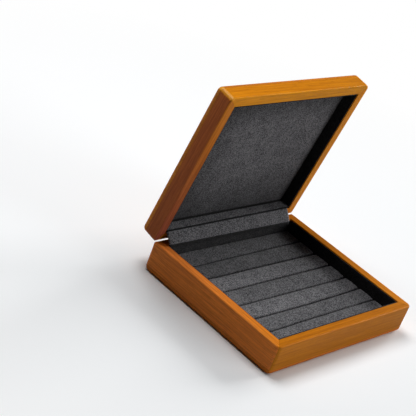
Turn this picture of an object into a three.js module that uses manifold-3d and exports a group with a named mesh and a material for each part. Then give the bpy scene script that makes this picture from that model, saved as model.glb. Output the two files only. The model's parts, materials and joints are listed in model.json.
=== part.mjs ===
// Wooden ring box, standing open: a mitred base and lid on two small butt hinges, lined with napped
// fabric, with seven foam ring rolls across the base and a fabric strip over the hinges.
// Millimetres, +Z up, +Y towards the hinges. The origin is the centre of the underside.
import * as THREE from 'three';
import { mergeVertices } from 'three/addons/utils/BufferGeometryUtils.js';
import Module from 'manifold-3d';

const wasm = await Module();
wasm.setup();

// Case
const boxWidth = 180;
const boxDepth = 150;
const baseHeight = 27.2;
const lidHeight = 17.6;
const wallThickness = 9;
const panelThickness = 5;
const uprightRadius = 4.5; // upright corners
const roundoverRadius = 4; // outer edges of the two panels
const rimArris = 1; // outer edge of the rims
const innerArris = 0.35; // inner edge of the rims
const bevelLead = 0.8; // how far in front of the hinge line the rear bevels start

// Clearances
const glueLine = 0.1; // between glued pieces
const seatGap = 0.3; // round covered pieces
const seamGap = 0.3; // between the shut rims
const runningGap = 0.3; // round what turns
const overrun = 1; // how far a cutter passes the surface that it cuts

// Opening
const openAngle = THREE.MathUtils.degToRad(81.2); // the lid's place here, counted from shut
const stopAngle = THREE.MathUtils.degToRad(105); // where the bevelled rear edges meet
const axisInset = 1.6; // hinge line, in from the rear face

// Hinges
const hingeInset = 38; // middle of a hinge, in from the box's side
const leafLength = 24;
const leafReach = 6.6; // hinge line to the leaf's free edge
const leafThickness = 0.8;
const barrelRadius = 1.4;
const knuckleGap = 0.3;
const pinRadius = 0.7;
const pinClearance = 0.1;
const screwSpacing = 14;
const screwHeadRadius = 1.3;
const screwShankRadius = 0.75;
const screwLength = 7;
const screwClearance = 0.12;

// Lining
const linerThickness = 1.2;
const linerDrop = 0.7; // below the rim
const rearLinerDrop = 1.3; // the strip over the hinges laps over the rear liners
const linerRound = 0.5;
const boardThickness = 1.5;
const padThickness = 2.6;
const padCrown = 0.5;
const padRound = 1;
const padCornerRadius = 1.5;
const coverThickness = 0.8;
const coverBulge = 0.4;
const coverLap = 1.25; // past the rims' inner edges
const coverEndGap = 2.3; // to the side liners

// Ring rolls
const rollCount = 7;
const rollHeight = 9.8;
const rollGap = 0.3;
const rollEndGap = 0.8;
const rollCrown = 0.6;
const rollShoulder = 1.8;
const rollFoot = 1;
const rollEndRound = 1.4;

// Facets
const cornerSteps = 6;
const roundoverSteps = 5;
const arrisSteps = 3;
const roundSides = 20;
const screwSides = 12;
const rollSteps = 3;
const crownSteps = 6;

const wood = { color: 0xa8641c, roughness: 0.38, metalness: 0 };
const fabric = { color: 0x454446, roughness: 0.95, metalness: 0 };
const card = { color: 0x3a393b, roughness: 0.9, metalness: 0 };
const brass = { color: 0xb8923c, roughness: 0.35, metalness: 1 };

// Sizes that follow
const innerHalfWidth = boxWidth / 2 - wallThickness;
const innerHalfDepth = boxDepth / 2 - wallThickness;
const axisY = boxDepth / 2 - axisInset;
const axisZ = baseHeight + seamGap / 2;
const hingeX = boxWidth / 2 - hingeInset;
const floorLevel = panelThickness + glueLine + boardThickness + glueLine;
const leafFace = -seamGap / 2; // the leaves' inner faces, from the hinge line
const leafNearEdge = barrelRadius + runningGap;
const screwY = (leafReach + leafNearEdge) / 2;
const rimQuarter = Math.PI / 2;

// Makes a closed body through rings of points, each anticlockwise as seen from the last one's side.
function loft(rings) {
  const count = rings[0].length;
  const last = (rings.length - 1) * count;
  const faces = [];
  for (let level = 0; level < rings.length - 1; level++) {
    for (let i = 0; i < count; i++) {
      const a = level * count + i;
      const b = level * count + ((i + 1) % count);
      faces.push(a, b, b + count, a, b + count, a + count);
    }
  }
  for (let i = 1; i < count - 1; i++) {
    faces.push(0, i + 1, i, last, last + i, last + i + 1);
  }
  const geometry = new THREE.BufferGeometry().setFromPoints(rings.flat());
  geometry.setIndex(faces);
  return geometry;
}

// A rectangle at height z with round corners, or with sharp ones when steps is 0.
function rectangleRing(halfX, halfY, z, radius = 0, steps = 0) {
  const corners = [[1, 1], [-1, 1], [-1, -1], [1, -1]];
  return corners.flatMap(([sideX, sideY], corner) =>
    Array.from({ length: steps + 1 }, (_, step) => {
      const angle = (corner + (steps ? step / steps : 0)) * rimQuarter;
      const x = sideX * (halfX - radius) + radius * Math.cos(angle);
      const y = sideY * (halfY - radius) + radius * Math.sin(angle);
      return new THREE.Vector3(x, y, z);
    }));
}

// Stacks such rectangles, each drawn in by its level's inset, with corners that tighten alike.
function slab(halfX, halfY, radius, levels) {
  const sharpestShare = 0.1;
  return loft(levels.map(([inset, z]) => {
    const corner = Math.max(radius - inset, radius * sharpestShare);
    return rectangleRing(halfX - inset, halfY - inset, z, corner, cornerSteps);
  }));
}

// A quarter round as [inset, height] levels: from flat underneath to upright, or upright to flat on top.
function risingRound(radius, foot, steps) {
  return Array.from({ length: steps + 1 }, (_, step) => {
    const angle = (step / steps) * rimQuarter;
    return [radius * (1 - Math.sin(angle)), foot + radius * (1 - Math.cos(angle))];
  });
}

function closingRound(radius, top, steps) {
  return risingRound(radius, 0, steps).reverse().map(([inset, rise]) => [inset, top - rise]);
}

function toSolid(geometry) {
  const bare = geometry.clone();
  bare.deleteAttribute('normal');
  bare.deleteAttribute('uv');
  const merged = mergeVertices(bare);
  const vertProperties = new Float32Array(merged.attributes.position.array);
  const triVerts = new Uint32Array(merged.index.array);
  return new wasm.Manifold(new wasm.Mesh({ numProp: 3, vertProperties, triVerts }));
}

function toGeometry(solid) {
  const { vertProperties, triVerts, numProp } = solid.getMesh();
  const geometry = new THREE.BufferGeometry();
  geometry.setAttribute('position', new THREE.BufferAttribute(vertProperties, numProp));
  geometry.setIndex(new THREE.BufferAttribute(triVerts, 1));
  return geometry;
}

function cut(geometry, cutters) {
  return toGeometry(cutters.reduce((left, cutter) => left.subtract(toSolid(cutter)), toSolid(geometry)));
}

// A bar whose section is given as [y, z] points, centred along X.
function barAlongX(section, length) {
  const shape = new THREE.Shape(section.map(([y, z]) => new THREE.Vector2(y, z)));
  const bar = new THREE.ExtrudeGeometry(shape, { depth: length, bevelEnabled: false });
  bar.translate(0, 0, -length / 2);
  const unit = [new THREE.Vector3(0, 1, 0), new THREE.Vector3(0, 0, 1), new THREE.Vector3(1, 0, 0)];
  return bar.applyMatrix4(new THREE.Matrix4().makeBasis(...unit));
}

function boxBetween(low, high) {
  const size = high.map((value, axis) => value - low[axis]);
  const middle = high.map((value, axis) => (value + low[axis]) / 2);
  return new THREE.BoxGeometry(...size).translate(...middle);
}

function rodAlongX(radius, from, to) {
  const rod = new THREE.CylinderGeometry(radius, radius, to - from, roundSides);
  return rod.rotateZ(rimQuarter).translate((from + to) / 2, 0, 0);
}

// The base and the lid are one kind of tray, and the lid's is turned over. A tray lies on its panel,
// with its rim up and its hinge line behind, half a seam gap above the rim.
function panel() {
  const radius = Math.min(roundoverRadius, panelThickness - glueLine);
  const levels = [...risingRound(radius, 0, roundoverSteps), [0, panelThickness]];
  return slab(boxWidth / 2, boxDepth / 2, uprightRadius, levels);
}

// The four rails in one, before they are mitred: the cavity flares at the rim for the inner arris, and
// the rear edge is bevelled to where the two trays' rear faces meet at the stop angle.
function railRing(height) {
  const levels = [[0, panelThickness + glueLine], ...closingRound(rimArris, height, arrisSteps)];
  const outside = slab(boxWidth / 2, boxDepth / 2, uprightRadius, levels);
  const above = height + overrun;
  const flare = [[0, -overrun], [0, height - innerArris], [innerArris, height], [innerArris, above]];
  const cavity = loft(flare.map(([growth, z]) =>
    rectangleRing(innerHalfWidth + growth, innerHalfDepth + growth, z)));
  const start = axisY - bevelLead;
  const behind = boxDepth / 2 + overrun;
  const slope = (axisInset * Math.tan(stopAngle / 2)) / (axisInset + bevelLead);
  const foot = height - slope * (behind - start);
  const section = [[start, height], [behind, foot], [behind, above], [start, above]];
  return cut(outside, [cavity, barAlongX(section, boxWidth + 2 * overrun)]);
}

// Cuts one rail out of the ring between its two mitres. Quarter turns: 0 front, 1 right, 2 rear, 3 left.
function rail(ring, height, quarterTurns) {
  const lengthwise = (quarterTurns % 2 ? boxDepth : boxWidth) / 2;
  const crosswise = (quarterTurns % 2 ? boxWidth : boxDepth) / 2;
  const mitreShift = glueLine * Math.SQRT1_2;
  const outerEnd = lengthwise + overrun - mitreShift;
  const innerEnd = lengthwise - wallThickness - overrun - mitreShift;
  const outerFace = -crosswise - overrun;
  const innerFace = -crosswise + wallThickness + overrun;
  const plan = [[-outerEnd, outerFace], [outerEnd, outerFace], [innerEnd, innerFace], [-innerEnd, innerFace]];
  const shape = new THREE.Shape(plan.map(([x, y]) => new THREE.Vector2(x, y)));
  const wedge = new THREE.ExtrudeGeometry(shape, { depth: height + 2 * overrun, bevelEnabled: false });
  wedge.translate(0, 0, -overrun).rotateZ(quarterTurns * rimQuarter);
  return toGeometry(toSolid(ring).intersect(toSolid(wedge)));
}

// Hinge pieces are drawn round their own axis, shut, below the seam's middle.
function hingePlaces() {
  return [-hingeX, hingeX];
}

function screwPlaces() {
  return [-screwSpacing / 2, screwSpacing / 2];
}

// A countersunk screw's outline from its point up to the rim of its head, or with growth its hole's.
function screwOutline(growth) {
  const tip = leafFace - screwLength - growth;
  const shank = screwShankRadius + growth;
  const head = screwHeadRadius + growth;
  return [[0, tip], [shank, tip + shank], [shank, leafFace - leafThickness], [head, leafFace]];
}

function turnedScrew(outline) {
  const lathe = new THREE.LatheGeometry(outline.map(([r, z]) => new THREE.Vector2(r, z)), screwSides);
  return lathe.rotateX(rimQuarter).translate(0, -screwY, 0);
}

function screw() {
  return turnedScrew([...screwOutline(0), [0, leafFace]]).translate(0, 0, -screwClearance / 2);
}

function screwHoles() {
  const above = leafFace + overrun;
  const outline = [...screwOutline(screwClearance), [screwHeadRadius + screwClearance, above], [0, above]];
  return screwPlaces().map((x) => turnedScrew(outline).translate(x, 0, 0));
}

function hingeLeaf(knuckles) {
  const foot = leafFace - leafThickness;
  const plate = [[-leafLength / 2, -leafReach, foot], [leafLength / 2, -leafNearEdge, leafFace]];
  let leaf = toSolid(boxBetween(...plate));
  for (const [from, to] of knuckles) {
    const tab = boxBetween([from, -leafNearEdge - overrun, foot], [to, 0, leafFace]);
    leaf = leaf.add(toSolid(tab)).add(toSolid(rodAlongX(barrelRadius, from, to)));
  }
  const bore = rodAlongX(pinRadius + pinClearance, -leafLength / 2 - overrun, leafLength / 2 + overrun);
  return cut(toGeometry(leaf), [bore, ...screwHoles()]);
}

const knuckleLength = (leafLength - 2 * knuckleGap) / 3;
const outerKnuckles = [
  [-leafLength / 2, -leafLength / 2 + knuckleLength],
  [leafLength / 2 - knuckleLength, leafLength / 2],
];
const middleKnuckle = [[-knuckleLength / 2, knuckleLength / 2]];

function hingePin() {
  return rodAlongX(pinRadius, -leafLength / 2, leafLength / 2);
}

// What one hinge takes out of a rear rail: the leaf's mortise, the barrel's groove and the screws' holes.
function hingeRecess() {
  const half = leafLength / 2 + runningGap;
  const floor = leafFace - leafThickness - glueLine;
  const mortise = boxBetween([-half, -leafReach - seatGap, floor], [half, 0, overrun]);
  const groove = rodAlongX(barrelRadius + runningGap, -half, half);
  return [mortise, groove, ...screwHoles()];
}

function rearRail(ring, height) {
  const recesses = hingePlaces().flatMap((x) =>
    hingeRecess().map((cutter) => cutter.translate(x, axisY, height + seamGap / 2)));
  return cut(rail(ring, height, 2), recesses);
}

// A covered card strip against one inner face, with its free edge rounded.
function liner(quarterTurns, foot, top) {
  const sideways = quarterTurns % 2;
  const wallFace = (sideways ? innerHalfWidth : innerHalfDepth) - seatGap;
  const endGap = sideways ? 2 * seatGap + linerThickness : seatGap;
  const length = 2 * ((sideways ? innerHalfDepth : innerHalfWidth) - endGap);
  const face = -wallFace + linerThickness;
  const round = closingRound(linerRound, top, arrisSteps).map(([inset, z]) => [face - inset, z]);
  return barAlongX([[-wallFace, foot], [face, foot], ...round, [-wallFace, top]], length)
    .rotateZ(quarterTurns * rimQuarter);
}

function floorBoard() {
  const halfX = innerHalfWidth - seatGap;
  const halfY = innerHalfDepth - seatGap;
  const foot = panelThickness + glueLine;
  return boxBetween([-halfX, -halfY, foot], [halfX, halfY, foot + boardThickness]);
}

// The pad on the lid's panel: a soft edge and a low crown.
function lidPad() {
  const margin = 2 * seatGap + linerThickness;
  const foot = panelThickness + seatGap;
  const shoulder = foot + padThickness - padCrown;
  const halfY = innerHalfDepth - margin;
  const crown = Array.from({ length: crownSteps }, (_, step) => {
    const share = (step + 1) / (crownSteps + 1);
    const inset = padRound + (halfY - padRound) * share;
    return [inset, shoulder + padCrown * (1 - (1 - share) ** 4)];
  });
  const levels = [[0, foot], ...closingRound(padRound, shoulder, rollSteps), ...crown];
  return slab(innerHalfWidth - margin, halfY, padCornerRadius, levels);
}

// Half of a roll's section, from its foot up to the crown, drawn in by an inset.
function rollHalfSection(half, top) {
  const arc = (centre, radius, from) => Array.from({ length: rollSteps + 1 }, (_, step) => {
    const angle = (from + step / rollSteps) * rimQuarter;
    return [centre[0] + radius * Math.cos(angle), centre[1] + radius * Math.sin(angle)];
  });
  const edge = half - rollShoulder;
  const shoulderTop = top - rollCrown;
  const crown = Array.from({ length: rollSteps }, (_, step) => {
    const share = 1 - (step + 1) / (rollSteps + 1);
    return [edge * share, shoulderTop + rollCrown * (1 - share ** 2)];
  });
  return [
    ...arc([half - rollFoot, rollFoot], rollFoot, -1),
    ...arc([edge, shoulderTop - rollShoulder], rollShoulder, 0),
    ...crown,
  ];
}

function rollRing(x, inset, width) {
  const half = rollHalfSection(width / 2 - inset, rollHeight - inset);
  const mirrored = half.map(([y, z]) => [-y, z]).reverse();
  return [...half, [0, rollHeight - inset], ...mirrored].map(([y, z]) => new THREE.Vector3(x, y, z));
}

function ringRoll(index) {
  const trayHalfDepth = innerHalfDepth - linerThickness - 2 * seatGap;
  const pitch = (2 * trayHalfDepth + rollGap) / rollCount;
  const halfLength = innerHalfWidth - linerThickness - seatGap - rollEndGap;
  const end = closingRound(rollEndRound, halfLength, rollSteps);
  const start = end.map(([inset, x]) => [inset, -x]).reverse();
  const roll = loft([...start, ...end].map(([inset, x]) => rollRing(x, inset, pitch - rollGap)));
  const y = trayHalfDepth + rollGap / 2 - pitch * (index + 1 / 2);
  return roll.translate(0, y, floorLevel);
}

// The strip over the hinges spans the V between the open rims. Its section is laid out along the V's
// bisector (out) and across it (over), and its back clears the rims' inner edges.
function hingeCover() {
  const half = openAngle / 2;
  const reach = axisY - innerHalfDepth;
  const edgeOut = reach * Math.cos(half) - (seamGap / 2) * Math.sin(half);
  const edgeOver = reach * Math.sin(half) + (seamGap / 2) * Math.cos(half);
  const end = edgeOver + coverLap;
  const place = (out, over) => [
    axisY - out * Math.cos(half) + over * Math.sin(half),
    axisZ + out * Math.sin(half) + over * Math.cos(half),
  ];
  const run = (out) => Array.from({ length: crownSteps + 1 }, (_, step) => {
    const share = (2 * step) / crownSteps - 1;
    return place(out + coverBulge * (1 - share ** 2), share * end);
  });
  const back = edgeOut + seatGap;
  const section = [...run(back), ...run(back + coverThickness).reverse()];
  return barAlongX(section, 2 * (innerHalfWidth - linerThickness - coverEndGap));
}

function mesh(name, geometry, finish) {
  geometry.computeVertexNormals();
  const piece = new THREE.Mesh(geometry, new THREE.MeshStandardMaterial({ ...finish, flatShading: true }));
  piece.name = name;
  return piece;
}

// Adds a tray's wood, liners, leaves and screws. A tray turned over swaps its left and right.
function addTray(group, name, height, linerFoot, knuckles, turnedOver) {
  const sides = turnedOver ? ['front', 'left', 'rear', 'right'] : ['front', 'right', 'rear', 'left'];
  const ring = railRing(height);
  sides.forEach((side, quarterTurns) => {
    const wall = side === 'rear' ? rearRail(ring, height) : rail(ring, height, quarterTurns);
    group.add(mesh(`${name}_${side}_wall`, wall, wood));
    const linerTop = height - (side === 'rear' ? rearLinerDrop : linerDrop);
    group.add(mesh(`${name}_${side}_liner`, liner(quarterTurns, linerFoot, linerTop), fabric));
  });
  const ends = turnedOver ? ['right', 'left'] : ['left', 'right'];
  hingePlaces().forEach((x, end) => {
    const leaf = hingeLeaf(knuckles).translate(x, axisY, height + seamGap / 2);
    group.add(mesh(`${ends[end]}_hinge_${name}_leaf`, leaf, brass));
    screwPlaces().forEach((offset, i) => {
      const placed = screw().translate(x + offset, axisY, height + seamGap / 2);
      group.add(mesh(`${name}_screw_${2 * end + i + 1}`, placed, brass));
    });
  });
}

function makeBase() {
  const base = new THREE.Group();
  base.add(mesh('base_bottom_panel', panel(), wood));
  base.add(mesh('base_floor_board', floorBoard(), card));
  addTray(base, 'base', baseHeight, floorLevel, outerKnuckles, false);
  for (let i = 0; i < rollCount; i++) {
    base.add(mesh(`ring_roll_${i + 1}`, ringRoll(i), fabric));
  }
  const ends = ['left', 'right'];
  hingePlaces().forEach((x, end) => {
    base.add(mesh(`${ends[end]}_hinge_pin`, hingePin().translate(x, axisY, axisZ), brass));
  });
  base.add(mesh('hinge_cover', hingeCover(), fabric));
  return base;
}

// The lid's tray is turned over about Y, set shut on the base and then swung open about the hinge line.
function makeLid() {
  const tray = new THREE.Group();
  tray.rotation.y = Math.PI;
  tray.position.set(0, -axisY, lidHeight + seamGap / 2);
  tray.add(mesh('lid_top_panel', panel(), wood));
  tray.add(mesh('lid_pad', lidPad(), fabric));
  addTray(tray, 'lid', lidHeight, panelThickness + seatGap, middleKnuckle, true);
  const lid = new THREE.Group();
  lid.position.set(0, axisY, axisZ);
  lid.rotation.x = -openAngle;
  lid.add(tray);
  return lid;
}

const ringBox = new THREE.Group();
ringBox.name = 'ring_box';
ringBox.add(makeBase(), makeLid());

export default ringBox;
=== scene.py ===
import json
import math

import bmesh
import bpy
from mathutils import Matrix, Vector, noise


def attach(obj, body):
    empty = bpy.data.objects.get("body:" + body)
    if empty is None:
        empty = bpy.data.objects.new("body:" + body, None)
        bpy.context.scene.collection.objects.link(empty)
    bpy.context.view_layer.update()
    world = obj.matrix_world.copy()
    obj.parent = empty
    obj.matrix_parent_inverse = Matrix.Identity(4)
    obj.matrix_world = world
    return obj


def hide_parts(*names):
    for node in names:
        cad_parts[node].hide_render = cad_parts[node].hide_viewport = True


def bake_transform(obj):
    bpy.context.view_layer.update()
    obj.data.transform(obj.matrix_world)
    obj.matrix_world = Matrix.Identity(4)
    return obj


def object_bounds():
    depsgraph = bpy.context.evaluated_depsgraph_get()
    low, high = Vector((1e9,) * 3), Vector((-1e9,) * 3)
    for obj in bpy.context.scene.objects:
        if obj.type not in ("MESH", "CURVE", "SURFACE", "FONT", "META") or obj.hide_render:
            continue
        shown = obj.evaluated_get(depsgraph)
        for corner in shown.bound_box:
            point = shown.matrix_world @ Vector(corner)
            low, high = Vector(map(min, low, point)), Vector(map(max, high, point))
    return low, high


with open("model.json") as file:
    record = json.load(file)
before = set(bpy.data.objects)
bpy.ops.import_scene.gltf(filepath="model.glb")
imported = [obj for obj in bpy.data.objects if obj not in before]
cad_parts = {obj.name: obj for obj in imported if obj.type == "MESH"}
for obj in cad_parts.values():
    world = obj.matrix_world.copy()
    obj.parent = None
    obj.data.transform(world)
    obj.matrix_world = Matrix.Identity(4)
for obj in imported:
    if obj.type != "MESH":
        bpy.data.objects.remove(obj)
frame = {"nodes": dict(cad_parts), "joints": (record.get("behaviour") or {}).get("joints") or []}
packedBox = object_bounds()
nodes = frame["nodes"]
scene = bpy.context.scene
scene.view_settings.view_transform = "Standard"
mm = 0.001

# The lid's pieces are shaped with the lid shut, then swung open to where the frame has them.
hinge = frame["joints"][0]
hingeLine = Vector(hinge["pos_m"])
openAngle = math.radians(-hinge["range_deg"][0])
toHinge = Matrix.Translation(hingeLine)
openLid = toHinge @ Matrix.Rotation(-openAngle, 4, "X") @ toHinge.inverted()
shutLid = openLid.inverted()


def pieceName(node):
    words = node.split("_")
    return words[0] + "".join(word.capitalize() for word in words[1:])


def bodyOf(node):
    return "lid" if "lid" in node else "base"


def cornersOf(node, placed=Matrix.Identity(4)):  # lowest and highest corner, in metres
    points = [placed @ vertex.co for vertex in nodes[node].data.vertices]
    return [Vector([pick(p[axis] for p in points) for axis in range(3)]) for pick in (min, max)]


def addNode(tree, kind, inputs=None, **settings):  # an input takes a value, or a socket to link
    node = tree.nodes.new(kind)
    for name, value in settings.items():
        setattr(node, name, value)
    for name, value in (inputs or {}).items():
        if isinstance(value, bpy.types.NodeSocket):
            tree.links.new(value, node.inputs[name])
        else:
            node.inputs[name].default_value = value
    return node


def newMaterial(name):
    material = bpy.data.materials.new(name)
    material.use_nodes = True
    material.node_tree.nodes.clear()
    return material, material.node_tree


def closeMaterial(tree, shader):
    addNode(tree, "ShaderNodeOutputMaterial", {"Surface": shader})


# Scales a pattern's coordinates, in cells per millimetre, and gives the noise's value socket.
def noiseValue(tree, place, cells, detail=3.0, rough=0.55, distort=0.0):
    perMetre = [count / mm for count in cells]
    spread = addNode(tree, "ShaderNodeVectorMath", {0: place, 1: perMetre}, operation="MULTIPLY")
    return addNode(tree, "ShaderNodeTexNoise", {
        "Vector": spread.outputs[0], "Scale": 1.0, "Detail": detail,
        "Roughness": rough, "Distortion": distort,
    }).outputs[0]


def remap(tree, value, low, high, newLow=0.0, newHigh=1.0):
    return addNode(tree, "ShaderNodeMapRange", {
        "Value": value, "From Min": low, "From Max": high, "To Min": newLow, "To Max": newHigh,
    }).outputs[0]


def mathValue(tree, operation, *values):  # one sum on one or two values
    return addNode(tree, "ShaderNodeMath", dict(enumerate(values)), operation=operation).outputs[0]


def blendShares(tree, parts, low, high):  # adds noises up, each stretched to its share
    total = None
    for value, share in parts:
        part = remap(tree, value, low, high, 0, share)
        total = part if total is None else mathValue(tree, "ADD", total, part)
    return total


def mixColour(tree, factor, first, second, blend="MIX"):  # by number, as its colour sockets share names
    inputs = {0: factor, 6: first, 7: second}
    return addNode(tree, "ShaderNodeMix", inputs, data_type="RGBA", blend_type=blend).outputs[2]


woodLook = {
    "pale": (0.66, 0.220, 0.010), "deep": (0.42, 0.125, 0.006), "pore": 0.45,
    "fibre": (0.025, 0.8, 0.8), "streak": (0.010, 0.32, 0.32), "bands": (0.004, 0.07, 0.07),
    "shares": (0.50, 0.32, 0.18), "toneLimits": (0.38, 0.62),  # of those three, in the grain's tone
    "fibreReach": 0.12,  # how much of the fibre's noise is used, on either side of its middle
    "pores": (0.12, 2.6, 2.6), "poreLimits": (0.58, 0.72), "poreShare": 0.4,
    "relief": 0.03 * mm, "bump": 0.5,
    "shiftStep": (0.37, 0.11, 0.05),  # from one board's grain to the next one's, in metres
    "roughness": 0.5, "specular": 0.0, "coat": 0.20, "coatRoughness": 0.30,
    # each board's red, green and blue, as shares of the plain wood's: partly each board's own tone, partly
    # painted light and shade for the side it faces
    "boards": {
        "base_left_wall": (1.39, 1.27, 4.4), "base_front_wall": (0.82, 0.86, 0.5),
        "lid_left_wall": (0.86, 0.68, 3.0), "lid_front_wall": (1.12, 1.18, 0.6),
        "base_bottom_panel": (1.00, 0.88, 1.6), "lid_top_panel": (0.98, 0.98, 1.5),
    },
    "crisp": {"base_left_wall": 3.0, "lid_left_wall": 3.5},  # how much crisper their fine grain is
    # painted light and shade: how light each board is at its left or front end, and at its right or rear
    # end, darker towards the end where less light falls
    "ends": {
        "base_left_wall": (1.02, 0.90), "base_front_wall": (1.03, 0.91),
        "lid_left_wall": (1.06, 0.72), "lid_front_wall": (0.98, 0.80),
    },
    # painted light and shade on the rims: the rim's tone beside the board's, at the same two ends, lighter
    # or darker as light falls along each rim
    "rims": {
        "lid_left_wall": ((1.21, 1.57, 0.10, 1), (0.73, 0.68, 2.24, 1)),
        "lid_front_wall": ((1.25, 1.40, 0.40, 1), (1.28, 1.44, 0.40, 1)),
        "lid_right_wall": ((1.15, 1.24, 0.45, 1), (1.15, 1.24, 0.45, 1)),
        "base_left_wall": ((0.85, 0.90, 0.25, 1), (1.20, 1.14, 1.36, 1)),
        "base_front_wall": ((1.03, 0.96, 1.00, 1), (1.12, 1.05, 1.00, 1)),
    },
    "rimFrom": 0.4 * mm, "rimTo": 1.2 * mm,  # off the hinge line's level
    "worn": (0.92, 0.39, 0.03, 1), "wornShare": 0.95,  # a painted highlight: a paler tone on the lid's two front corners
    "wornAcross": (4.3 * mm, 2.8 * mm), "wornDeep": (2.9 * mm, 1.6 * mm),  # off their side and front faces
}


# Straight fine grain along X or Y, on the base or on the lid.
def woodMaterial(node, shift):
    look = woodLook
    material, tree = newMaterial("Lacquered wood " + pieceName(node))
    place = addNode(tree, "ShaderNodeTexCoord").outputs["Object"]
    if bodyOf(node) == "lid":
        # places on the lid, as they are when it is shut
        place = addNode(tree, "ShaderNodeMapping", {
            "Vector": place, "Rotation": (openAngle, 0, 0),
            "Location": hingeLine - shutLid.to_3x3() @ hingeLine,
        }).outputs[0]
    alongY = "left" in node or "right" in node
    right, front = packedBox[1][0], packedBox[0][1]
    axes = addNode(tree, "ShaderNodeSeparateXYZ", {0: place}).outputs
    along = remap(tree, axes["Y" if alongY else "X"], -right, right)
    # painted light and shade along the board, from one end to the other
    light = remap(tree, along, 0, 1, *look["ends"].get(node, (1, 1)))
    place = addNode(tree, "ShaderNodeMapping", {
        "Vector": place, "Rotation": (0, 0, math.pi / 2 if alongY else 0), "Location": shift,
    }).outputs[0]
    fibre = noiseValue(tree, place, look["fibre"], detail=4, rough=0.7)
    streak = noiseValue(tree, place, look["streak"], detail=2, distort=0.6)
    bands = noiseValue(tree, place, look["bands"], detail=1)
    pores = remap(tree, noiseValue(tree, place, look["pores"], detail=1), *look["poreLimits"])
    reach = look["fibreReach"] / look["crisp"].get(node, 1)
    grain = remap(tree, fibre, 0.5 - reach, 0.5 + reach, *look["toneLimits"])
    tone = blendShares(tree, zip((grain, streak, bands), look["shares"]), *look["toneLimits"])
    board = look["boards"].get(node, (1, 1, 1))
    pale, deep = ([share * c for share, c in zip(board, look[name])] + [1] for name in ("pale", "deep"))
    colour = mixColour(tree, tone, pale, deep)
    dark = [look["pore"] * c for c in deep[:3]] + [1]
    colour = mixColour(tree, mathValue(tree, "MULTIPLY", pores, look["poreShare"]), colour, dark)
    colour = mixColour(tree, 1.0, colour, light, "MULTIPLY")
    # painted light and shade on the rim band along the hinge line's level
    if node in look["rims"]:
        offRim = mathValue(tree, "ABSOLUTE", mathValue(tree, "SUBTRACT", axes["Z"], hingeLine.z))
        rimLightMask = remap(tree, offRim, look["rimFrom"], look["rimTo"], 1, 0)
        rimLightTone = mixColour(tree, along, *look["rims"][node])
        colour = mixColour(tree, rimLightMask, colour, rimLightTone, "MULTIPLY")
    # a painted highlight on the lid's two front upright corners, a paler tone where the light glints off
    # their rounding
    if bodyOf(node) == "lid":
        sideways = mathValue(tree, "ABSOLUTE", axes["X"])
        bySide = remap(tree, sideways, *(right - off for off in look["wornAcross"]))
        byFront = remap(tree, axes["Y"], *(front + off for off in look["wornDeep"]))
        inCorner = mathValue(tree, "MULTIPLY", bySide, byFront)
        worn = mathValue(tree, "MULTIPLY", inCorner, look["wornShare"])
        colour = mixColour(tree, worn, colour, look["worn"])
    height = mathValue(tree, "SUBTRACT", fibre, pores)
    bump = addNode(tree, "ShaderNodeBump", {
        "Height": height, "Strength": look["bump"], "Distance": look["relief"],
    })
    shader = addNode(tree, "ShaderNodeBsdfPrincipled", {
        "Base Color": colour, "Roughness": look["roughness"], "Normal": bump.outputs[0],
        "Specular IOR Level": look["specular"],
        "Coat Weight": look["coat"], "Coat Roughness": look["coatRoughness"],
    })
    closeMaterial(tree, shader.outputs[0])
    return material


liningLook = {
    "light": (0.162, 0.160, 0.168, 1), "dark": (0.008, 0.008, 0.010, 1),
    "clouds": (0.09,) * 3, "mottle": (0.95,) * 3, "nap": (2.4,) * 3,
    "shares": (0.10, 0.66, 0.24), "shadeLimits": (0.44, 0.58),  # of those three, in the shade
    "relief": 0.12 * mm, "bump": 0.6,
    "roughness": 0.95, "specular": 0.08, "sheen": 0.06, "sheenRoughness": 0.5,
    "span": (-80 * mm, 80 * mm),  # along X, from the first cut to the last
}


# Short napped microfibre, brushed lighter and darker in patches. A cut is how light it lies, and it may
# change from a span's first end to its last:
# painted light and shade, so that one cloth lies lighter where light falls on it and darker in shade.
# Each edge dims it from one place along an axis to another, a painted shade cast by a wall: axis, the two
# places, and the cut at the first.
def liningMaterial(name, firstCut, lastCut=None, axis="X", span=liningLook["span"], edges=()):
    look = liningLook
    material, tree = newMaterial("Napped lining " + name)
    place = addNode(tree, "ShaderNodeTexCoord").outputs["Object"]
    clouds = noiseValue(tree, place, look["clouds"])
    mottle = noiseValue(tree, place, look["mottle"], detail=4, rough=0.75)
    nap = noiseValue(tree, place, look["nap"], rough=0.7)
    shade = blendShares(tree, zip((clouds, mottle, nap), look["shares"]), *look["shadeLimits"])
    axes = addNode(tree, "ShaderNodeSeparateXYZ", {0: place}).outputs
    cut = remap(tree, axes[axis], *span, firstCut, firstCut if lastCut is None else lastCut)
    colour = mixColour(tree, 1.0, mixColour(tree, shade, look["dark"], look["light"]), cut, "MULTIPLY")
    for edgeAxis, dimPlace, fullPlace, edgeCut in edges:
        paintedEdgeShade = remap(tree, axes[edgeAxis], dimPlace, fullPlace, edgeCut, 1)
        colour = mixColour(tree, 1.0, colour, paintedEdgeShade, "MULTIPLY")
    bump = addNode(tree, "ShaderNodeBump", {
        "Height": nap, "Strength": look["bump"], "Distance": look["relief"],
    })
    shader = addNode(tree, "ShaderNodeBsdfPrincipled", {
        "Base Color": colour, "Roughness": look["roughness"],
        "Normal": bump.outputs[0], "Specular IOR Level": look["specular"],
        "Sheen Weight": look["sheen"], "Sheen Roughness": look["sheenRoughness"],
    })
    closeMaterial(tree, shader.outputs[0])
    return material


brassLook = {
    "bright": (0.80, 0.58, 0.26, 1), "dull": (0.55, 0.36, 0.14, 1), "dullLimits": (0.35, 0.7),
    "tarnish": (0.35,) * 3, "scratches": (0.4, 9, 9), "relief": 0.01 * mm, "bump": 0.3,
    "roughness": (0.24, 0.42), "roughLimits": (0.3, 0.7),
}


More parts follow.
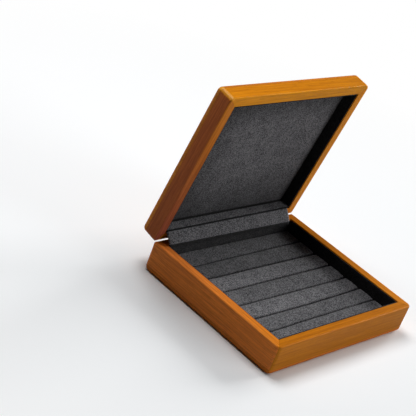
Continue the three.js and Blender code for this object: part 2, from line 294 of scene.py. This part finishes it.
def brassMaterial():
    look = brassLook
    material, tree = newMaterial("Satin brass")
    place = addNode(tree, "ShaderNodeTexCoord").outputs["Object"]
    tarnish = noiseValue(tree, place, look["tarnish"])
    scratches = noiseValue(tree, place, look["scratches"], detail=2)
    colour = mixColour(tree, remap(tree, tarnish, *look["dullLimits"]), look["bright"], look["dull"])
    bump = addNode(tree, "ShaderNodeBump", {
        "Height": scratches, "Strength": look["bump"], "Distance": look["relief"],
    })
    shader = addNode(tree, "ShaderNodeBsdfPrincipled", {
        "Base Color": colour, "Metallic": 1.0, "Normal": bump.outputs[0],
        "Roughness": remap(tree, tarnish, *look["roughLimits"], *look["roughness"]),
    })
    closeMaterial(tree, shader.outputs[0])
    return material


# Adds a finished mesh to the scene, smooth, in place of its CAD node. A blended piece rides on no one body.
def addPiece(bm, name, material, body, replaced, placed=None):
    if placed:
        bmesh.ops.transform(bm, matrix=placed, verts=bm.verts)
    for face in bm.faces:
        face.smooth = True
    mesh = bpy.data.meshes.new(name)
    bm.to_mesh(mesh)
    bm.free()
    mesh.materials.append(material)
    piece = bpy.data.objects.new(name, mesh)
    scene.collection.objects.link(piece)
    if body:
        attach(piece, body)
    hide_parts(*replaced)
    return piece


rigidLook = {"sameSpot": 0.002 * mm, "flatTo": math.radians(0.4), "hardFrom": math.radians(32)}


# A rigid piece keeps its node's shape, with a hard edge wherever two of its faces meet past an angle.
def carryOver(node, material):
    look = rigidLook
    bm = bmesh.new()
    bm.from_mesh(nodes[node].data)
    bmesh.ops.remove_doubles(bm, verts=bm.verts, dist=look["sameSpot"])
    bmesh.ops.dissolve_limit(bm, angle_limit=look["flatTo"], verts=bm.verts, edges=bm.edges)
    for edge in bm.edges:
        edge.smooth = edge.calc_face_angle(math.pi) < look["hardFrom"]
    piece = addPiece(bm, pieceName(node), material, bodyOf(node), [node])
    weighted = piece.modifiers.new("Flat faces stay flat", "WEIGHTED_NORMAL")
    weighted.keep_sharp = True


def makeWood():
    woodNodes = sorted(n for n in nodes if n.endswith("_wall") or n.endswith("_panel"))
    for i, node in enumerate(woodNodes):
        shift = [step * i for step in woodLook["shiftStep"]]
        carryOver(node, woodMaterial(node, shift))
    print("wood done:", len(woodNodes), "pieces")


# Soft pieces start from a block centred on the origin, with rounded edges and its sides cut into cells.
blockLook = {
    "alongShare": 0.99,  # of an edge's length, where it counts as lying along an axis
    "faceSlack": 0.01 * mm,  # off a face, where an edge's ends still count as on it
    "cutSlack": 0.0001 * mm,  # off a vertex, where a cut goes through it
}


def block(size):
    bm = bmesh.new()
    bmesh.ops.create_cube(bm, size=1)
    bmesh.ops.scale(bm, vec=size, verts=bm.verts)
    return bm


def roundEdges(bm, chosen, radius, segments):
    edges = [edge for edge in bm.edges if chosen(edge)]
    bmesh.ops.bevel(bm, geom=edges, offset=radius, offset_type="OFFSET", affect="EDGES",
                    segments=segments, profile=0.5, material=-1, clamp_overlap=True)


def alongAxis(edge, axis):
    way = edge.verts[1].co - edge.verts[0].co
    return abs(way[axis]) > blockLook["alongShare"] * way.length


def onFace(edge, axis, place):
    return all(abs(vertex.co[axis] - place) < blockLook["faceSlack"] for vertex in edge.verts)


def cutThrough(bm, point, way):
    bmesh.ops.bisect_plane(bm, geom=bm.verts[:] + bm.edges[:] + bm.faces[:],
                           dist=blockLook["cutSlack"], plane_co=point, plane_no=way)


def cutCells(bm, size, cells):
    for axis, cell in enumerate(cells):
        if not cell:
            continue
        count = round(size[axis] / cell)
        way = Vector([1.0 if other == axis else 0.0 for other in range(3)])
        for i in range(1, count):
            cutThrough(bm, way * size[axis] * (i / count - 0.5), way)


rollLook = {
    "shoulder": 1.5 * mm, "foot": 1.0 * mm, "end": 1.3 * mm, "cells": (1.6 * mm, 1.3 * mm, 2.0 * mm),
    "shoulderSegments": 5, "footSegments": 2, "endSegments": 3,
    "crown": 0.36 * mm, "wander": 0.22 * mm, "wanderPerMetre": 38, "dent": 0.07 * mm, "dentPerMetre": 170,
    "seedStep": 11.0,  # from one roll's noise to the next one's
    "seamIn": 1.9 * mm, "seamDepth": 0.22 * mm, "seamWidth": 0.5 * mm,
    "sideShare": 0.6, "sidePower": 4,  # how much of dents and seam the long sides take, and how near them
    "endPower": 8,  # how near its ends a roll stops short and slants
    "rearRise": (1.7 * mm, 1.3 * mm, 0.9 * mm),  # of the first roll, at its left, middle and right
}
# How far the rolls stand back from each gap, in millimetres, from the hinge to the front.
gapSlacks = [0.25, 0.50, 0.75, 0.55, 0.35, 0.50, 0.25, 0.25]
# How far each gap strays towards the hinge, in millimetres, at its left, middle and right.
gapStrays = [
    (0, 0, 0), (0.1, 0.6, 0.9), (0.8, 0.2, -0.5), (0.0, -0.2, -0.6),
    (-0.6, -1.5, -1.9), (-0.1, -1.4, -0.3), (-0.3, 0.7, 0.5), (0, 0, 0),
]
# How far each roll stops short at its left and right, and how much its ends slant, in millimetres.
rollEnds = [
    (0.3, 0.1, 0.3), (0.5, 0.0, -0.4), (0.1, 0.4, 0.5), (0.6, 0.3, -1.1),
    (0.2, 0.5, 0.4), (0.4, 0.1, -0.3), (0.0, 0.3, 0.6),
]
# How light each one's cloth is at its left and right end: partly a brushed nap, partly painted light and
# shade.
rollCuts = [
    (1.20, 0.78), (1.04, 0.98), (2.05, 1.15), (1.38, 1.26), (1.78, 1.28), (1.30, 1.22), (1.40, 1.30),
]


def bowed(values, share):  # a smooth line through a value at the left, the middle and the right
    left, centre, right = values
    return centre + (right - left) / 2 * share + ((left + right) / 2 - centre) * share ** 2


def makeRolls():
    look = rollLook
    for i, (leftShort, rightShort, slant) in enumerate(rollEnds):
        node = f"ring_roll_{i + 1}"
        low, high = cornersOf(node)
        low.y += gapSlacks[i + 1] * mm
        high.y -= gapSlacks[i] * mm
        size, middle = high - low, (high + low) / 2
        halfX, halfY, halfZ = size / 2
        bm = block(size)
        roundEdges(bm, lambda e: alongAxis(e, 0) and e.verts[0].co.z > 0,
                   look["shoulder"], look["shoulderSegments"])
        roundEdges(bm, lambda e: alongAxis(e, 0) and onFace(e, 2, -halfZ),
                   look["foot"], look["footSegments"])
        roundEdges(bm, lambda e: onFace(e, 0, halfX) or onFace(e, 0, -halfX),
                   look["end"], look["endSegments"])
        cutCells(bm, size, look["cells"])
        seed = Vector((0, 0, look["seedStep"] * i))
        for vertex in bm.verts:
            x, y, z = vertex.co
            upper = max(0.0, z / halfZ)
            across = min(1.0, abs(y) / halfY)
            fall = look["crown"] * across ** 2
            wander = noise.noise(vertex.co * look["wanderPerMetre"] + seed) * look["wander"]
            dent = noise.noise(vertex.co * look["dentPerMetre"] + seed) * look["dent"]
            offSeam = (halfX - abs(x) - look["seamIn"]) / look["seamWidth"]
            seam = look["seamDepth"] * math.exp(-offSeam ** 2)
            back = (y / halfY + 1) / 2
            stray = bowed(gapStrays[i], x / halfX) * back + bowed(gapStrays[i + 1], x / halfX) * (1 - back)
            rise = bowed(look["rearRise"], x / halfX) * back ** 2 if i == 0 else 0
            vertex.co.z = z + (wander + dent - seam - look["wander"] + rise - fall) * upper
            bySide = math.copysign(across ** look["sidePower"], y) * look["sideShare"]
            vertex.co.y = y + (dent - seam) * bySide + stray * mm
            byEnd = (abs(x) / halfX) ** look["endPower"]
            short = (rightShort if x > 0 else leftShort) * mm * byEnd
            lean = slant * mm * (y / halfY) * byEnd
            vertex.co.x = x - math.copysign(short + max(0.0, lean), x)
        lining = liningMaterial(f"roll {i + 1}", *rollCuts[i])
        placed = Matrix.Translation(middle)
        roll = addPiece(bm, pieceName(node), lining, "base", [node], placed)
    print("rolls done:", len(rollEnds))


linerLook = {
    "cut": 0.16, "round": 0.5 * mm, "roundSegments": 2, "cells": (3.0 * mm, 3.0 * mm, 2.5 * mm),
    "fewestCells": 2,  # a side with room for no more than these stays uncut
    "ripple": 0.10 * mm, "ripplePerMetre": 45, "rippleIn": 0.5,  # which turns most of it inwards
    "thin": 2 * mm,  # only the thin way ripples
    # painted light and shade: the lid's rear liner lighter where it faces up into the light, the base's
    # darker in shade
    "rearCuts": {"lid_rear_liner": 1.5, "base_rear_liner": 0.34},
    "creaseCut": 0.04,  # painted shade: a near-black cloth for the shadow lines in the grooves, where cloth is turned over and glued down
    "tuck": 1.0 * mm,  # the lid's rear one runs on under the strip
    "darkByStrip": 1.15 * mm, "darkByPad": 3.1 * mm,  # and painted groove shade darkens it along both edges
}


def makeLiners(darkLining, grooveShade):
    look = linerLook
    cloths = {node: liningMaterial(pieceName(node), cut) for node, cut in look["rearCuts"].items()}
    for node in sorted(n for n in nodes if n.endswith("_liner") or n == "base_floor_board"):
        body = bodyOf(node)
        overHinge = node == "lid_rear_liner"
        low, high = cornersOf(node, shutLid if body == "lid" else Matrix.Identity(4))
        if overHinge:
            low.z -= look["tuck"]
        size, middle = high - low, (high + low) / 2
        bm = block(size)
        roundEdges(bm, lambda e: True, look["round"], look["roundSegments"])
        fewest = look["fewestCells"]
        cutCells(bm, size, [cell if side > fewest * cell else 0 for cell, side in zip(look["cells"], size)])
        if overHinge:
            # painted shade in bands along both edges, in the grooves by the strip and the pad
            darkBelow, darkAbove = look["darkByStrip"] - size.z / 2, size.z / 2 - look["darkByPad"]
            for level in (darkBelow, darkAbove):
                cutThrough(bm, (0, 0, level), (0, 0, 1))
            for face in bm.faces:
                level = face.calc_center_median().z
                face.material_index = 1 if level < darkBelow or level > darkAbove else 0
        for vertex in bm.verts:
            ripple = noise.noise((vertex.co + middle) * look["ripplePerMetre"]) - look["rippleIn"]
            outward = Vector([c / side if side < look["thin"] else 0 for c, side in zip(vertex.co, size)])
            vertex.co += outward * look["ripple"] * ripple
        placed = Matrix.Translation(middle)
        placed = openLid @ placed if body == "lid" else placed
        liner = addPiece(bm, pieceName(node), cloths.get(node, darkLining), body, [node], placed)
        if overHinge:
            liner.data.materials.append(grooveShade)
    print("liners done")


padLook = {
    "lowCut": 0.60, "highCut": 1.42, "fade": (38 * mm, 88 * mm),  # painted shade: darker near the hinge
    # and painted shade cast by the walls towards three edges: how far in it is dimmest, how far in the
    # dimming ends, and the dimmest cut
    "leftDim": (14 * mm, 46 * mm, 0.66), "rightDim": (2 * mm, 16 * mm, 0.75),
    "frontDim": (12 * mm, 30 * mm, 0.55),
    "corner": 1.6 * mm, "edge": 1.6 * mm, "segments": 4, "cells": (2.5 * mm, 2.5 * mm, 0),
    "crown": 0.5 * mm, "crownReach": 0.5, "crownPower": 4,  # its reach is a share of the way to the middle
    "wander": 0.20 * mm, "wanderPerMetre": 28, "darkEdge": 1.9 * mm,
}


def makePad(grooveShade):
    look = padLook
    low, high = cornersOf("lid_pad", shutLid)
    size, middle = high - low, (high + low) / 2
    halfX, halfY, halfZ = size / 2
    bm = block(size)
    roundEdges(bm, lambda e: alongAxis(e, 2), look["corner"], look["segments"])
    roundEdges(bm, lambda e: onFace(e, 2, -halfZ), look["edge"], look["segments"])
    cutCells(bm, size, look["cells"])
    for vertex in bm.verts:
        x, y, z = vertex.co
        if z < 0:
            inward = min((halfX - abs(x)) / halfX, (halfY - abs(y)) / halfY)
            fall = look["crown"] * (1 - min(1.0, inward / look["crownReach"])) ** look["crownPower"]
            wander = (noise.noise(vertex.co * look["wanderPerMetre"]) + 1) / 2 * look["wander"]
            vertex.co.z = z + (fall + wander) * min(1.0, -z / halfZ)
    # painted shade: the faces near the pad's edge take the near-black groove cloth
    for face in bm.faces:
        centre = face.calc_center_median()
        fromEdge = min(halfX - abs(centre.x), halfY - abs(centre.y))
        face.material_index = 1 if fromEdge < look["darkEdge"] else 0
    frontEdge = cornersOf("lid_pad")[1].z  # the open lid's pad stands nearly upright
    sides = [("X", low.x, 1, "leftDim"), ("X", high.x, -1, "rightDim"), ("Z", frontEdge, -1, "frontDim")]
    edges = []
    for axis, edge, way, dim in sides:
        near, far, cut = look[dim]
        edges.append((axis, edge + way * near, edge + way * far, cut))
    lining = liningMaterial("pad", look["lowCut"], look["highCut"], "Z", look["fade"], edges)
    placed = openLid @ Matrix.Translation(middle)
    pad = addPiece(bm, "lidPad", lining, "lid", ["lid_pad"], placed)
    pad.data.materials.append(grooveShade)  # painted shade along the pad's edge, where the cloth turns over it
    print("pad done")


coverLook = {
    # painted light: the strip's cloth is set lighter where it faces up into the light, from its left end to
    # its right
    "leftCut": 1.48, "rightCut": 1.22, "cloth": 0.7 * mm, "bulge": 0.40 * mm, "cell": 2.0 * mm,
    "skirt": 2.4 * mm, "offLiner": 0.15 * mm, "pastLeft": 3.0 * mm, "shortRight": 1.3 * mm,
    "wander": 0.12 * mm, "wanderPerMetre": 60, "hem": 0.7 * mm,
    "foldRadius": 0.7 * mm, "foldSegments": 4, "longFrom": 3.5 * mm, "longCuts": 7,
    "foldBack": 0.9 * mm, "foldUp": 1.2 * mm, "foldSlant": 0.9 * mm, "flare": 0.4 * mm, "flarePower": 8,
    "blendUp": 0.5 * mm,  # above the fold, where it starts to follow the lid
}


# The strip is drawn as its section, from the lid's rim down to the tray, and then pulled along the hinge.
def makeCover(darkLining, grooveShade):
    look = coverLook
    low, high = cornersOf("hinge_cover")
    low.x -= look["pastLeft"]
    high.x -= look["shortRight"]
    width = high.x - low.x
    halfCloth = look["cloth"] / 2
    linerFace = cornersOf("base_rear_liner")[0].y - look["offLiner"] - halfCloth
    top = Vector((low.x, high.y - halfCloth, high.z - halfCloth))
    foot = Vector((low.x, linerFace, low.z + halfCloth - look["skirt"]))
    fold = Vector((low.x, linerFace + look["foldBack"], low.z + halfCloth + look["foldUp"]))
    hem = top + (fold - top).normalized() * look["hem"]
    bm = bmesh.new()
    section = [bm.verts.new(point) for point in (top, hem, fold, foot)]
    for pair in zip(section, section[1:]):
        bm.edges.new(pair)
    bmesh.ops.bevel(bm, geom=[section[2]], offset=look["foldRadius"], affect="VERTICES",
                    segments=look["foldSegments"], profile=0.5, material=-1)
    longEdges = [edge for edge in bm.edges if edge.calc_length() > look["longFrom"]]
    bmesh.ops.subdivide_edges(bm, edges=longEdges, cuts=look["longCuts"])
    pulled = bmesh.ops.extrude_edge_only(bm, edges=bm.edges[:])
    far = [item for item in pulled["geom"] if isinstance(item, bmesh.types.BMVert)]
    bmesh.ops.translate(bm, vec=(width, 0, 0), verts=far)
    count = round(width / look["cell"])
    for i in range(1, count):
        cutThrough(bm, (low.x + width * i / count, 0, 0), (1, 0, 0))
    chord = fold - top
    away = Vector((0, -chord.z, chord.y)).normalized()
    if away.y > 0:
        away.negate()
    # painted shade: the hem at the strip's top takes the groove shade cloth, the skirt below the fold the
    # cloth in shade
    for face in bm.faces:
        centre = face.calc_center_median()
        if (centre - top).yz.length < look["hem"]:
            face.material_index = 1
        elif centre.z < fold.z - look["foldRadius"]:
            face.material_index = 2
    for vertex in bm.verts:
        share = min(1.0, max(0.0, (vertex.co - top).yz.dot(chord.yz) / chord.length_squared))
        if vertex.co.z > fold.z:
            vertex.co += away * look["bulge"] * math.sin(math.pi * share)
        vertex.co += away * noise.noise(vertex.co * look["wanderPerMetre"]) * look["wander"]
        along = (vertex.co.x - low.x) / (width / 2) - 1
        vertex.co.z -= look["foldSlant"] * along * share
        vertex.co.x -= look["flare"] * max(0.0, -along) ** look["flarePower"] * share
    bmesh.ops.recalc_face_normals(bm, faces=bm.faces)
    bmesh.ops.solidify(bm, geom=bm.faces[:], thickness=look["cloth"])
    bmesh.ops.recalc_face_normals(bm, faces=bm.faces)
    lining = liningMaterial("strip", look["leftCut"], look["rightCut"])
    cover = addPiece(bm, "hingeCover", lining, None, ["hinge_cover"])
    cover.data.materials.append(grooveShade)  # the hem on the lid, in painted groove shade
    cover.data.materials.append(darkLining)  # the skirt in the tray, in the painted shade cloth
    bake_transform(cover)
    print("hinge cover done")


def makeBrass(brass):
    brassNodes = sorted(n for n in nodes if "leaf" in n or "pin" in n or "screw" in n)
    for node in brassNodes:
        carryOver(node, brass)
    print("brass done:", len(brassNodes), "pieces")


studio = {
    "floorSize": 12, "floorTone": (0.90, 0.92, 0.935, 1), "bounceTone": (0.61, 0.60, 0.60, 1),
    "plainFrom": 0.14, "plainTo": 0.60, "ambient": 0.02, "backdropEdge": 0.05, "backdropTop": 0.20,
    "white": (1, 1, 1, 1), "aim": (0, 0, 0.08),
    "lamps": {
        "overheadSoftbox": {"at": (-0.05, 0.38, 1.01), "size": 0.52, "watts": 7.4},
        "rightSoftbox": {"at": (4.00, 0.00, 1.50), "size": 2.20, "watts": 195.0},
        "frontSoftbox": {"at": (1.20, -2.20, 0.70), "size": 1.40, "watts": 27.0},
    },
}


def seenDirectly(tree):  # camera, glossy and transmission rays
    rays = addNode(tree, "ShaderNodeLightPath").outputs
    seen = rays["Is Camera Ray"]
    for other in ("Is Glossy Ray", "Is Transmission Ray"):
        seen = mathValue(tree, "MAXIMUM", seen, rays[other])
    return seen


def stagePlane(name, size, material):
    bm = bmesh.new()
    bmesh.ops.create_grid(bm, x_segments=1, y_segments=1, size=size / 2)
    mesh = bpy.data.meshes.new(name)
    bm.to_mesh(mesh)
    bm.free()
    mesh.materials.append(material)
    plane = bpy.data.objects.new(name, mesh)
    scene.collection.objects.link(plane)


def makeWorld():  # a dim room, white to the camera, with a low white backdrop for what shines
    world = bpy.data.worlds.new("Studio")
    world.use_nodes = True
    scene.world = world
    tree = world.node_tree
    tree.nodes.clear()
    way = addNode(tree, "ShaderNodeTexCoord").outputs["Generated"]
    rise = addNode(tree, "ShaderNodeSeparateXYZ", {0: way}).outputs["Z"]
    low = remap(tree, rise, studio["backdropEdge"], studio["backdropTop"], 1, 0)
    mirrored = mathValue(tree, "MULTIPLY", low, seenDirectly(tree))
    camera = addNode(tree, "ShaderNodeLightPath").outputs["Is Camera Ray"]
    share = mathValue(tree, "MAXIMUM", mirrored, camera)
    dim = addNode(tree, "ShaderNodeBackground", {"Color": studio["white"], "Strength": studio["ambient"]})
    white = addNode(tree, "ShaderNodeBackground", {"Color": studio["white"], "Strength": 1.0})
    mixed = addNode(tree, "ShaderNodeMixShader", {0: share, 1: dim.outputs[0], 2: white.outputs[0]})
    addNode(tree, "ShaderNodeOutputWorld", {"Surface": mixed.outputs[0]})


def makeFloor():  # lit near the box, where it takes the shadow, and plain white farther out
    material, tree = newMaterial("Studio floor")
    place = addNode(tree, "ShaderNodeTexCoord").outputs["Object"]
    away = addNode(tree, "ShaderNodeVectorMath", {0: place}, operation="LENGTH").outputs["Value"]
    plain = remap(tree, away, studio["plainFrom"], studio["plainTo"])
    seen = seenDirectly(tree)
    plain = mathValue(tree, "MULTIPLY", plain, seen)
    tone = mixColour(tree, seen, studio["bounceTone"], studio["floorTone"])
    lit = addNode(tree, "ShaderNodeBsdfDiffuse", {"Color": tone})
    white = addNode(tree, "ShaderNodeEmission", {"Color": studio["white"], "Strength": 1.0})
    mixed = addNode(tree, "ShaderNodeMixShader", {0: plain, 1: lit.outputs[0], 2: white.outputs[0]})
    closeMaterial(tree, mixed.outputs[0])
    stagePlane("studioFloor", studio["floorSize"], material)


def makeStudio():
    makeWorld()
    makeFloor()
    for name, lamp in studio["lamps"].items():
        data = bpy.data.lights.new(name, "AREA")
        data.energy = lamp["watts"]
        data.size = lamp["size"]
        softbox = bpy.data.objects.new(name, data)
        softbox.location = lamp["at"]
        away = Vector(studio["aim"]) - softbox.location
        softbox.rotation_euler = away.to_track_quat("-Z", "Y").to_euler()
        scene.collection.objects.link(softbox)
    print("studio done")


photoView = {
    "azimuth": -54.355, "elevation": 26.363, "roll": 21.213, "distance": 1.06657,
    "aim": (-0.0493, 0.06413, 0.06), "lens": 111.49, "sensor": 36, "clip": 0.05,
}


def makeCamera():
    look = photoView
    azimuth, elevation, roll = (math.radians(look[name]) for name in ("azimuth", "elevation", "roll"))
    level = math.cos(elevation)
    back = Vector((math.sin(azimuth) * level, -math.cos(azimuth) * level, math.sin(elevation)))
    data = bpy.data.cameras.new("Photo view")
    data.lens = look["lens"]
    data.sensor_width = look["sensor"]
    data.clip_start = look["clip"]
    camera = bpy.data.objects.new("photoCamera", data)
    turn = (-back).to_track_quat("-Z", "Y") @ Matrix.Rotation(roll, 3, "Z").to_quaternion()
    camera.rotation_euler = turn.to_euler()
    camera.location = Vector(look["aim"]) + back * look["distance"]
    scene.collection.objects.link(camera)
    scene.camera = camera
    print("camera done")


makeCamera()
makeStudio()
makeWood()
shadedLining = liningMaterial("in shade", linerLook["cut"])
# painted shade: a near-black copy of the lining for the groove lines
grooveShadeLining = liningMaterial("in creases", linerLook["creaseCut"])
makeLiners(shadedLining, grooveShadeLining)
makeRolls()
makePad(grooveShadeLining)
makeCover(shadedLining, grooveShadeLining)
makeBrass(brassMaterial())
